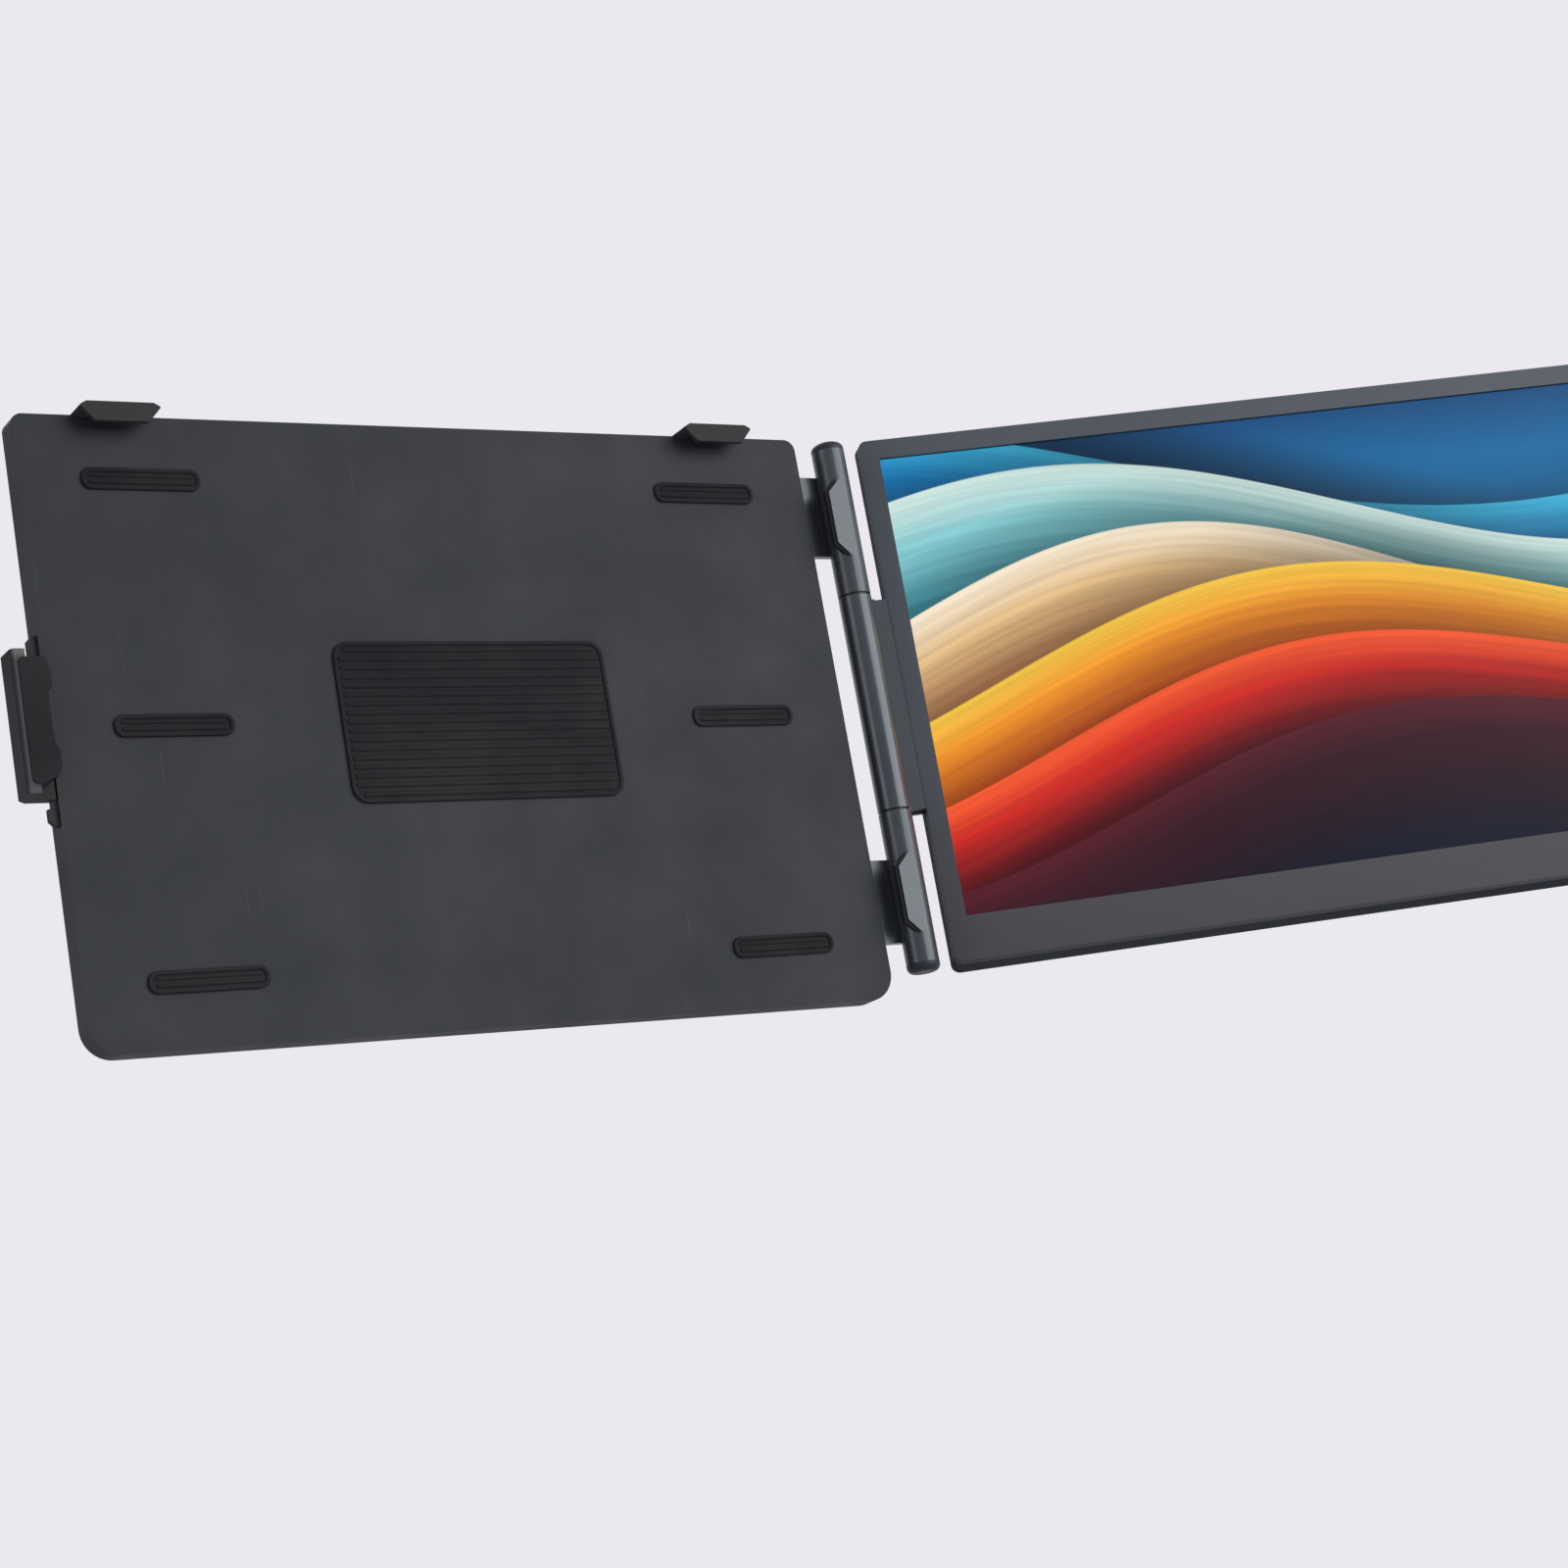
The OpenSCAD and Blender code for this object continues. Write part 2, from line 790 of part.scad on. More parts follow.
module left_jaw() {
    wall_in = left_wall_x - wrap_t;
    core_tip = left_tip_x - lobe_t;
    chamfer = 3;
    ridge_w = 0.9;
    ridge_t = 1.4;
    slot_z = left_jaw_h / 2 - jaw_slot;
    color(claw_black)
    difference() {
        union() {
            bar(-left_jaw_h / 2, left_jaw_h / 2)
                polygon([[left_outer_x, jaw_front_y + ridge_t],
                    [left_outer_x + ridge_w, jaw_front_y],
                    [core_tip, jaw_front_y], [core_tip, -lid_t - wrap_t],
                    [wall_in, -lid_t - wrap_t], [wall_in, jaw_back_y],
                    [left_outer_x + chamfer, jaw_back_y], [left_outer_x, jaw_back_y - chamfer]]);
            // foot behind the lid, below the arm's upper shoulder
            box([wall_in - 1, claw_foot_y, -left_jaw_h / 2],
                [claw_foot_x, jaw_back_y, slot_z - 0.3]);
        }
        // recess that the rubber wraps into
        slab(jaw_front_y - cut, cut + 0.4)
            left_pad_outline();
        // above and below the lip only the outer wall reaches forward
        slab(jaw_front_y - 2 * cut, claw_foot_y - jaw_front_y + 2 * cut)
            difference() {
                translate([claw_end_x, -left_jaw_h / 2 - cut])
                    square([core_tip + cut - claw_end_x, left_jaw_h + 2 * cut]);
                left_pad_outline();
            }
        // slot for the arm's end
        box([left_outer_x + 3, arm_y, -slot_z], [claw_foot_x + cut, arm_y + arm_t, slot_z]);
        for (z = [-jaw_screw_z, jaw_screw_z])
            y_rod(left_outer_x + jaw_screw_in, z, jaw_screw_r, -2, jaw_back_y + cut);
    }
}

module left_jaw_pad() {
    wall_in = left_wall_x - wrap_t;
    core_tip = left_tip_x - lobe_t;
    skin = 0.4;
    face_y = jaw_front_y + skin;
    pad_x = left_outer_x + pad_inset;
    color(rubber_black)
    intersection() {
        bar(-pad_half_h - cut, pad_half_h + cut)
            polygon([[pad_x - cut, face_y], [pad_x - cut, jaw_front_y - 0.3],
                [left_tip_x - 0.8, jaw_front_y - 0.3], [left_tip_x, jaw_front_y + 0.5],
                [left_tip_x, -lid_t], [left_wall_x, -lid_t], [left_wall_x, claw_foot_y],
                [wall_in, claw_foot_y], [wall_in, -lid_t - wrap_t],
                [core_tip, -lid_t - wrap_t], [core_tip, face_y]]);
        slab(jaw_front_y - 1, claw_foot_y - jaw_front_y + 2)
            left_pad_outline();
    }
}

module left_jaw_screws() {
    color(steel)
    for (z = [-jaw_screw_z, jaw_screw_z])
        y_rod(left_outer_x + jaw_screw_in, z, jaw_screw_r, -1.8, jaw_back_y - 0.1);
}

module top_arm(x) {
    color(claw_black)
    slab(arm_y, arm_t)
        translate([x, 0])
            polygon([[-top_arm_w / 2, top_arm_z0], [top_arm_w / 2, top_arm_z0],
                [top_arm_w / 2, top_jaw_z1 - 0.8], [-top_arm_w / 2, top_jaw_z1 - 0.8]]);
}

// Outline of a top claw in X and Z: upper corners cut off, and sides that slope in to its tip
module top_claw_outline() {
    half = top_jaw_w / 2;
    top = half - top_corner_w;
    tip = half - top_taper;
    side_z1 = top_jaw_z1 - top_side_h;
    side_z0 = side_z1 - 0.6;
    polygon([[-top, top_jaw_z1], [top, top_jaw_z1], [half, side_z1], [half, side_z0],
        [tip, top_tip_z], [-tip, top_tip_z], [-half, side_z0], [-half, side_z1]]);
}

module top_jaw(x) {
    roof_z = plate_h / 2 + top_jaw_gap;
    color(claw_black)
    translate([x, 0, 0])
    difference() {
        slab(jaw_front_y, back_y - 2 - jaw_front_y)
            top_claw_outline();
        // room for the lid and its liner
        box([-top_jaw_w, -lid_t - liner_t, top_tip_z - cut],
            [top_jaw_w, front_y - 0.3, top_seat_z + liner_t]);
        // room for the plate's top edge
        box([-top_jaw_w, front_y - 0.4, top_tip_z - cut], [top_jaw_w, back_y, roof_z]);
        // slot for the arm's end
        box([-top_arm_w / 2, arm_y, roof_z - cut],
            [top_arm_w / 2, arm_y + arm_t, top_jaw_z1 - 0.8]);
    }
}

module top_jaw_pad(x) {
    half = top_jaw_w / 2 - top_taper - 0.1;
    color(rubber_black)
    translate([x, 0, 0])
        cross_bar(-half, half)
            polygon([[-lid_t - liner_t, top_tip_z + 0.3], [-lid_t, top_tip_z + 0.3],
                [-lid_t, top_seat_z], [-0.6, top_seat_z], [-0.6, top_seat_z + liner_t],
                [-lid_t - liner_t, top_seat_z + liner_t]]);
}

// ---- kickstand ----

module stand_leg() {
    inset = 0.4;
    color(plate_grey)
    difference() {
        union() {
            slab(stand_leg_y, stand_leg_t)
                translate([stand_x, stand_z - stand_len / 2])
                    square([stand_w - inset, stand_len], center = true);
            stand_trough(stand_knuckle_r, stand_w / 2 - inset / 2);
        }
        stand_trough(stand_pin_r, stand_w);
        box([stand_x - stand_w / 2 + 6, stand_leg_y + stand_leg_t - 0.7,
                stand_z - stand_len + 3],
            [stand_x + stand_w / 2 - 6, back_y + cut, stand_z - stand_len + 3 + foot_h]);
    }
}

module stand_pin() {
    color(steel)
    stand_trough(stand_pin_r, stand_w / 2 + lug_w - 2.2);
}

module stand_foot() {
    color(rubber_black)
    box([stand_x - stand_w / 2 + 6, stand_leg_y + stand_leg_t - 0.7, stand_z - stand_len + 3],
        [stand_x + stand_w / 2 - 6, stand_leg_y + stand_leg_t, stand_z - stand_len + 3 + foot_h]);
}

// ---- extra screen ----

// Openings in the screen's right side for the ports, the buttons and the status light
module side_openings() {
    x0 = right_x - housing_wall - cut;
    x1 = right_x + cut;
    for (z = usb_z)
        box([x0, port_y - port_t / 2, z - usb_w / 2], [x1, port_y + port_t / 2, z + usb_w / 2]);
    box([x0, port_y - port_t / 2, hdmi_z - hdmi_w / 2],
        [x1, port_y + port_t / 2, hdmi_z + hdmi_w / 2]);
    for (i = [0 : 2])
        box([x0, key_y - key_t / 2 - 0.2, key_z[i] - key_w[i] / 2 - 0.2],
            [x1, key_y + key_t / 2 + 0.2, key_z[i] + key_w[i] / 2 + 0.2]);
    translate([x0, key_y, led_z])
        rotate([0, 90, 0])
            cylinder(r = 0.8, h = x1 - x0);
}

// Solid form of the housing from depth y0: its sides, then a sloped edge that ends at the back
module housing_form(y0, inset) {
    screen_body(y0, edge_back - inset, inset);
    hull() {
        slab(edge_back - layer_t - inset, layer_t)
            screen_outline(edge_back - inset, inset);
        slab(screen_back - layer_t - inset, layer_t)
            translate([screen_x + (back_inset - right_inset) / 2, screen_z])
                round_rect(screen_w - back_inset - right_inset - inset,
                    screen_h - 2 * back_inset - inset, screen_corner - inset, $fn = loft_fn);
    }
}

module rear_housing() {
    color(housing_grey)
    in_screen()
    difference() {
        union() {
            difference() {
                housing_form(bezel_split, 0);
                housing_form(bezel_split - cut, housing_wall);
            }
            at_housing_screws()
                y_rod(0, 0, boss_r, screen_back - 4, screen_back - 0.8);
            for (z = link_screw_z)
                y_rod(link_screw_x, z, boss_r, link_in_y + link_in_t, screen_back - 0.8);
        }
        side_openings();
        // passage for the hinge link
        box([screen_gap - cut, bezel_split - cut, -link_z - 0.1],
            [screen_gap + housing_wall + 1.4, link_in_y + link_in_t + 0.1, link_z + 0.1]);
        for (z = link_screw_z)
            y_rod(link_screw_x, z, screw_r, link_in_y, screen_back - housing_wall);
        at_housing_screws() {
            y_rod(0, 0, screw_r + 0.1, screen_front, screen_back + cut);
            y_rod(0, 0, screw_head_r + 0.2, screen_back - screw_head_t - 0.1, screen_back + cut);
        }
        // speaker slots
        for (x = speaker_x, i = [-4 : 4])
            box([x + i * 3 - 0.6, screen_back - 3, speaker_z - 4],
                [x + i * 3 + 0.6, screen_back + cut, speaker_z + 4]);
        // cooling slots above the driver board
        for (i = [-8 : 8])
            box([board_x + i * 4 - 0.7, screen_back - 3, board_z - 8],
                [board_x + i * 4 + 0.7, screen_back + cut, board_z + 8]);
    }
}

module front_bezel() {
    color(bezel_grey)
    in_screen()
    difference() {
        union() {
            difference() {
                screen_body(screen_front, bezel_split, 0);
                slab(screen_front + bezel_t, screen_t)
                    screen_outline(screen_front, bezel_lip);
            }
            at_housing_screws()
                y_rod(0, 0, boss_r - 0.6, screen_front, screen_front + 5.2);
            // tongues that snap inside the housing's top wall
            for (x = clip_x)
                box([x - clip_w / 2, screen_front, screen_z + screen_h / 2 - bezel_lip],
                    [x + clip_w / 2, bezel_split + 2, screen_z + screen_h / 2 - housing_wall - 0.1]);
        }
        slab(screen_front - cut, screen_t)
            translate([screen_x, active_z + (window_top - window_bottom) / 2])
                square([active_w + 2 * window_side, active_h + window_top + window_bottom],
                    center = true);
        at_housing_screws()
            y_rod(0, 0, screw_r, screen_front + 1, screen_back);
    }
}

module display_film() {
    color(glow)
    in_screen()
    slab(panel_front - film_t, film_t)
        translate([screen_x, active_z])
            square([active_w, active_h], center = true);
}

module display_panel() {
    color(panel_black)
    in_screen()
    slab(panel_front, panel_t)
        translate([screen_x, active_z])
            square([active_w + 2 * panel_border, active_h + 2 * panel_border], center = true);
}

module light_guide() {
    color("white")
    in_screen()
    slab(guide_front, guide_t)
        translate([screen_x, active_z + 1])
            square([active_w, active_h - 4], center = true);
}

module led_strip() {
    color("#e8e4c8")
    in_screen()
    slab(guide_front, guide_t)
        translate([screen_x, active_z + 1 - (active_h - 4) / 2 - 1.6])
            square([active_w, 2.6], center = true);
}

module driver_board() {
    color(board_green)
    in_screen()
    union() {
        slab(board_front, board_t)
            translate([board_x, board_z])
                square([board_w, board_h], center = true);
        slab(board_front - chip_t, chip_t)
            translate([board_x - 33, board_z - 5])
                square(14, center = true);
        slab(board_front - chip_t, chip_t)
            translate([board_x - 1, board_z + 7])
                square(10, center = true);
    }
}

module panel_flex() {
    flex_t = 0.3;
    near_y = guide_front + guide_t + 0.05;
    color("#b8862f")
    in_screen()
    cross_bar(board_x - 30, board_x - 6)
        polygon([[near_y, panel_z0 + 1], [near_y + flex_t, panel_z0 + 1],
            [near_y + flex_t, board_z - 20], [board_front, board_z - 16],
            [board_front, board_z - 15], [board_front - flex_t, board_z - 15],
            [near_y, board_z - 19.7]]);
}

// Metal shell of a socket whose mouth is flush with the screen's side
module socket(w, z, depth) {
    wall = 0.35;
    difference() {
        box([right_x - depth, port_y - port_t / 2, z - w / 2],
            [right_x - 0.2, port_y + port_t / 2, z + w / 2]);
        box([right_x - depth + 1, port_y - port_t / 2 + wall, z - w / 2 + wall],
            [right_x, port_y + port_t / 2 - wall, z + w / 2 - wall]);
    }
    box([right_x - depth + 0.5, port_y - 0.35, z - w / 2 + 1.6],
        [right_x - 1.4, port_y + 0.35, z + w / 2 - 1.6]);
}

module usb_c_ports() {
    color(steel)
    in_screen()
    for (z = usb_z)
        socket(usb_w, z, usb_depth);
}

module mini_hdmi_port() {
    color(steel)
    in_screen()
    socket(hdmi_w, hdmi_z, usb_depth);
}

module key_board() {
    color(board_green)
    in_screen()
    box([key_board_x - 1, key_y - 1.6, led_z - 4], [key_board_x, key_y + 2.4, key_z[2] + 6]);
}

module key_switches() {
    color(steel)
    in_screen()
    for (z = key_z)
        box([key_board_x, key_y - 1.3, z - 2], [key_board_x + switch_depth, key_y + 1.3, z + 2]);
}

module status_light() {
    color("white")
    in_screen()
    translate([key_board_x, key_y, led_z])
        rotate([0, 90, 0])
            cylinder(r = 0.8, h = right_x - key_board_x - 0.05);
}

module speakers() {
    color(nylon_black)
    in_screen()
    for (x = speaker_x)
        box([x - 15, screen_front + 4.6, speaker_z - 5], [x + 15, screen_back - 2.4, speaker_z + 5]);
}

module housing_screws() {
    color(steel)
    in_screen()
    at_housing_screws()
        screw(screen_front + 1.4, screen_back - screw_head_t - 0.1);
}

// Side button with a plunger that ends at its switch when pressed home
module side_button(i) {
    flange_x = right_x - housing_wall - key_flange_gap;
    plunger_x = key_board_x + switch_depth + key_travel + 0.05;
    color(claw_black)
    in_screen() {
        box([flange_x - 0.8, key_y - key_t / 2, key_z[i] - key_w[i] / 2],
            [right_x + key_proud, key_y + key_t / 2, key_z[i] + key_w[i] / 2]);
        box([flange_x - 0.8, key_y - key_t / 2, key_z[i] - key_w[i] / 2 - 0.8],
            [flange_x, key_y + key_t / 2, key_z[i] + key_w[i] / 2 + 0.8]);
        box([plunger_x, key_y - 1, key_z[i] - 1.5], [flange_x, key_y + 1, key_z[i] + 1.5]);
    }
}

plate_front_cover();
plate_back_cover();
lid_seat_pad();
seat_strips();
left_track();
top_track(-top_claw_left_x);  // top_track_left
top_track(top_claw_right_x);  // top_track_right
detent_springs();
plate_screws();
upper_knuckle();
lower_knuckle();
barrel_end_caps();
knuckle_screws();
fixed_claw_pads();
left_arm();
left_jaw();
left_jaw_pad();
left_jaw_screws();
top_arm(-top_claw_left_x);  // top_arm_left
top_jaw(-top_claw_left_x);  // top_jaw_left
top_jaw_pad(-top_claw_left_x);  // top_jaw_pad_left
top_arm(top_claw_right_x);  // top_arm_right
top_jaw(top_claw_right_x);  // top_jaw_right
top_jaw_pad(top_claw_right_x);  // top_jaw_pad_right
stand_leg();
stand_pin();
stand_foot();
hinge_link();
hinge_shaft();
hinge_washers();
friction_discs();
shaft_nuts();
link_screws();
rear_housing();
front_bezel();
display_film();
display_panel();
light_guide();
led_strip();
driver_board();
panel_flex();
usb_c_ports();
mini_hdmi_port();
key_board();
key_switches();
status_light();
speakers();
housing_screws();
side_button(0);  // power_button
side_button(1);  // plus_button
side_button(2);  // minus_button
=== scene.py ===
import math

import bmesh
import bpy
from mathutils import Matrix, Vector


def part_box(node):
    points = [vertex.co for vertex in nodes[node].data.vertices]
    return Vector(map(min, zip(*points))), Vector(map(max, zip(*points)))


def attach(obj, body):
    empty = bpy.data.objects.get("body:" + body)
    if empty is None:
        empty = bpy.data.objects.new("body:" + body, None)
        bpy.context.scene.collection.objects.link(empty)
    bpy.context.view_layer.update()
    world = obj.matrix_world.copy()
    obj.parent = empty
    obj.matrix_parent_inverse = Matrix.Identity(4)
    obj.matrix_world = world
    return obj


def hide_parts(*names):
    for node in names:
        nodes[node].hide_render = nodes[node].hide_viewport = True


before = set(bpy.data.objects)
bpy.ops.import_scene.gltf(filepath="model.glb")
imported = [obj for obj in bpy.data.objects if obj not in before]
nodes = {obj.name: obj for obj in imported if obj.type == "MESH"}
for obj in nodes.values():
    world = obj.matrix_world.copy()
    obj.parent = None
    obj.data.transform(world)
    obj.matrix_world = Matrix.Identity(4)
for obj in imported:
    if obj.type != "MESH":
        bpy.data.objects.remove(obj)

MM = 0.001
TAU = 2 * math.pi
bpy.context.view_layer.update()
scene = bpy.context.scene
scene.view_settings.view_transform = "Standard"

# ---- camera ----

IMAGE_SIZE = 1600
SENSOR = 36.0
FOCAL_PX = 3418.55
CENTRE_PX = (799.45, 802.33)
RIGHT = Vector((0.843, -0.509661, -0.172038))
DOWN = Vector((-0.025691, 0.281313, -0.959272))
FORWARD = Vector((0.5373, 0.813086, 0.224053))
CAMERA_AT = Vector((-0.560979, -1.036588, -0.314212))

cam_data = bpy.data.cameras.new("camera")
cam = bpy.data.objects.new("camera", cam_data)
scene.collection.objects.link(cam)
scene.camera = cam
cam_data.sensor_width = SENSOR
cam_data.lens = FOCAL_PX * SENSOR / IMAGE_SIZE
cam_data.shift_x = (IMAGE_SIZE / 2 - CENTRE_PX[0]) / IMAGE_SIZE
cam_data.shift_y = (CENTRE_PX[1] - IMAGE_SIZE / 2) / IMAGE_SIZE
cam_data.clip_start = 0.01
turn = Matrix((RIGHT, -DOWN, -FORWARD)).transposed()
cam.matrix_world = Matrix.Translation(CAMERA_AT) @ turn.to_4x4()

# ---- the frame of the extra screen, as in the CAD ----

TURNED = math.radians(21.4)
HINGE = Vector((0.172, -0.001, 0.0033))
ACROSS = Vector((math.cos(TURNED), -math.sin(TURNED), 0))
X_AXIS, Y_AXIS, Z_AXIS = (1, 0, 0), (0, 1, 0), (0, 0, 1)


# ---- material tools ----

def linear(hex_colour):
    """Linear colour of a #rrggbb string."""
    out = []
    for i in (1, 3, 5):
        c = int(hex_colour[i:i + 2], 16) / 255
        out.append(c / 12.92 if c < 0.04045 else ((c + 0.055) / 1.055) ** 2.4)
    return (*out, 1.0)


BLACK = (0, 0, 0, 1)
WHITE = (1, 1, 1, 1)


class Shader:
    """A material and short ways to add nodes to it."""

    def __init__(self, name):
        self.mat = bpy.data.materials.new(name)
        self.mat.use_nodes = True
        self.tree = self.mat.node_tree
        self.bsdf = self.tree.nodes["Principled BSDF"]
        self.here = self.tree.nodes.new("ShaderNodeTexCoord").outputs["Object"]

    def put(self, socket, value):
        if isinstance(value, bpy.types.NodeSocket):
            self.tree.links.new(value, socket)
        else:
            socket.default_value = value

    def set(self, **values):
        for name, value in values.items():
            self.put(self.bsdf.inputs[name.replace("_", " ")], value)

    def math(self, operation, *values):
        node = self.tree.nodes.new("ShaderNodeMath")
        node.operation = operation
        for socket, value in zip(node.inputs, values):
            self.put(socket, value)
        return node.outputs[0]

    def dot(self, vector, axis):
        node = self.tree.nodes.new("ShaderNodeVectorMath")
        node.operation = "DOT_PRODUCT"
        self.put(node.inputs[0], vector)
        node.inputs[1].default_value = axis
        return node.outputs["Value"]

    def stretch(self, scale, turn=(0, 0, 0)):
        node = self.tree.nodes.new("ShaderNodeMapping")
        self.put(node.inputs["Vector"], self.here)
        node.inputs["Rotation"].default_value = turn
        node.inputs["Scale"].default_value = scale
        return node.outputs["Vector"]

    def noise(self, scale, detail=2.0, rough=0.5, vector=None):
        node = self.tree.nodes.new("ShaderNodeTexNoise")
        self.put(node.inputs["Vector"], vector or self.here)
        node.inputs["Scale"].default_value = scale
        node.inputs["Detail"].default_value = detail
        node.inputs["Roughness"].default_value = rough
        return node.outputs["Fac"]

    def cells(self, scale, feature="F1"):
        node = self.tree.nodes.new("ShaderNodeTexVoronoi")
        node.feature = feature
        self.put(node.inputs["Vector"], self.here)
        node.inputs["Scale"].default_value = scale
        return node.outputs["Distance"]

    def remap(self, value, low, high, to_low=0.0, to_high=1.0):
        node = self.tree.nodes.new("ShaderNodeMapRange")
        self.put(node.inputs["Value"], value)
        for name, number in (("From Min", low), ("From Max", high),
                             ("To Min", to_low), ("To Max", to_high)):
            node.inputs[name].default_value = number
        return node.outputs["Result"]

    def spread(self, noise, to_low=0.0, to_high=1.0):
        """The middle of a noise's values, which holds nearly all of them, spread to a range."""
        return self.remap(noise, 0.3, 0.7, to_low, to_high)

    def along_screen(self):
        """Distance from the hinge's axis along the extra screen, in metres."""
        return self.math("ADD", self.dot(self.here, tuple(ACROSS)), -HINGE.dot(ACROSS))

    def mix(self, factor, a, b, blend="MIX"):
        node = self.tree.nodes.new("ShaderNodeMix")
        node.data_type = "RGBA"
        node.blend_type = blend
        sockets = [i for i in node.inputs if i.type == "RGBA"]
        self.put(node.inputs["Factor"], factor)
        self.put(sockets[0], a)
        self.put(sockets[1], b)
        return [o for o in node.outputs if o.type == "RGBA"][0]

    def dim(self, colour, factor):
        """Colour times a factor between 0 and 1."""
        return self.mix(1.0, colour, self.mix(factor, BLACK, WHITE), "MULTIPLY")

    def ramp(self, factor, stops):
        node = self.tree.nodes.new("ShaderNodeValToRGB")
        self.put(node.inputs["Fac"], factor)
        elements = node.color_ramp.elements
        while len(elements) < len(stops):
            elements.new(0.5)
        for element, (place, colour) in zip(elements, stops):
            element.position = place
            element.color = linear(colour)
        return node.outputs["Color"]

    def bump(self, height, depth, strength=1.0, normal=None):
        node = self.tree.nodes.new("ShaderNodeBump")
        self.put(node.inputs["Height"], height)
        node.inputs["Strength"].default_value = strength
        node.inputs["Distance"].default_value = depth
        if normal:
            self.put(node.inputs["Normal"], normal)
        return node.outputs["Normal"]

    def lines(self, turn, across, along, share):
        """Thin straight scratches: 1 on a scratch, 0 beside it; share is how much they cover."""
        streaks = self.noise(1, 2, 0.6, self.stretch((across, across, along), turn))
        return self.remap(streaks, 0.78 - share, 0.82 - share)

    def surface(self, colour, roughness, specular, height, depth, strength, under=None):
        """Sets the colour, the gloss and a bump over another bump."""
        self.set(Base_Color=colour, Roughness=roughness, Specular_IOR_Level=specular)
        self.set(Normal=self.bump(height, depth, strength, under))
        return self.mat


# where tones change: each pair is the place where a change begins and where it is full, in metres
# the CLAW_ pairs place the left claw's painted highlights
CLAW_FRONT_Y = (-0.007, -0.0078)
CLAW_RIDGE_X = (-0.1742, -0.1745)
CLAW_ENDS_Z = (0.021, 0.024)
CLAW_UPPER_Z = (0, 0.02)
BEZEL_FOOT_Z = (-0.02, -0.1)
# BEZEL_FAR, BEZEL_NEAR and BEZEL_EDGE place the bezel's painted highlight and painted shade
BEZEL_FAR = (0.03, 0.3)
BEZEL_NEAR = (0.019, 0.03)
BEZEL_EDGE = (0.0151, 0.0156)
LEAF_START = (0.0068, 0.0073)


def paint_claw_highlights(s, base):
    """Painted highlights: paler along the left claw's ridge and on its front's two ends, palest at the
    upper end.
    """
    x, y, z = (s.dot(s.here, axis) for axis in (X_AXIS, Y_AXIS, Z_AXIS))
    front = s.remap(y, *CLAW_FRONT_Y)
    ridge = s.math("MULTIPLY", front, s.remap(x, *CLAW_RIDGE_X))
    ends = s.math("MULTIPLY", front, s.remap(s.math("ABSOLUTE", z), *CLAW_ENDS_Z))
    # painted highlights: the ridge and the front's ends are paler, the upper end most
    base = s.mix(ridge, base, linear("#484a4d"))
    end_tone = s.mix(s.remap(z, *CLAW_UPPER_Z), linear("#525356"), linear("#686967"))
    return s.mix(ends, base, end_tone)


def paint_bezel_light_and_shade(s, base):
    """Warmer towards the bezel's foot; a painted highlight makes it paler away from the hinge, and
    painted shade darkens the strip and the edge beside the hinge.
    """
    along = s.along_screen()
    base = s.mix(s.remap(s.dot(s.here, Z_AXIS), *BEZEL_FOOT_Z), base, linear("#525155"))
    # painted light and shade: the bezel is dimmed towards the hinge, most on the edge beside it
    for places, darkest in ((BEZEL_FAR, 0.78), (BEZEL_NEAR, 0.9), (BEZEL_EDGE, 0.8)):
        base = s.dim(base, s.remap(along, *places, darkest, 1.0))
    return base


def moulded(name, colour, tint, rough, specular, grain, depth, scuffs, tones=None):
    """Moulded plastic: fine spark-eroded grain, a slow drift between two tones, hairline scuffs.

    grain is how fine the texture is, depth its height in metres, and scuffs how pale the scuffs
    are; tones adds one piece's painted highlights and painted shade, with any other change of its
    colour from place to place."""
    s = Shader(name)
    fine = s.noise(grain, 3, 0.65)
    pits = s.cells(grain * 0.6)
    drift = s.noise(7, 4, 0.55)
    base = s.mix(s.remap(drift, 0.38, 0.62), linear(colour), linear(tint))
    if tones:
        base = tones(s, base)
    base = s.dim(base, s.spread(fine, 0.93, 1.0))
    scuff = s.math("MAXIMUM", s.lines(turn=(0.3, 0.9, 0.2), across=900, along=14, share=0.06),
                   s.lines(turn=(1.1, 0.2, 1.7), across=800, along=11, share=0.05))
    scuff = s.math("MULTIPLY", scuff, s.remap(s.noise(22, 2), 0.5, 0.66, 0.0, scuffs))
    base = s.mix(scuff, base, linear("#a4a6aa"))
    shine = s.remap(s.noise(26, 4, 0.6), 0.35, 0.65, rough + 0.05, rough - 0.05)
    shine = s.math("ADD", shine, s.spread(fine, -0.04, 0.04))
    return s.surface(base, shine, specular, fine, depth, 0.5, s.bump(pits, depth, 0.4))


def rubber(name, colour, tint):
    """Silicone rubber: matt, very fine texture, a few pale specks of dust."""
    s = Shader(name)
    fine = s.noise(3400, 3, 0.7)
    drift = s.noise(16, 4, 0.6)
    base = s.mix(s.remap(drift, 0.36, 0.64), linear(colour), linear(tint))
    base = s.dim(base, s.spread(fine, 0.9, 1.0))
    specks = s.remap(s.noise(1500, 1), 0.72, 0.78)
    specks = s.math("MULTIPLY", specks, s.remap(drift, 0.5, 0.62, 0.03, 0.2))
    base = s.mix(specks, base, linear("#77766f"))
    return s.surface(base, s.remap(drift, 0.35, 0.65, 0.84, 0.7), 0.16, fine, 0.00002, 0.6)


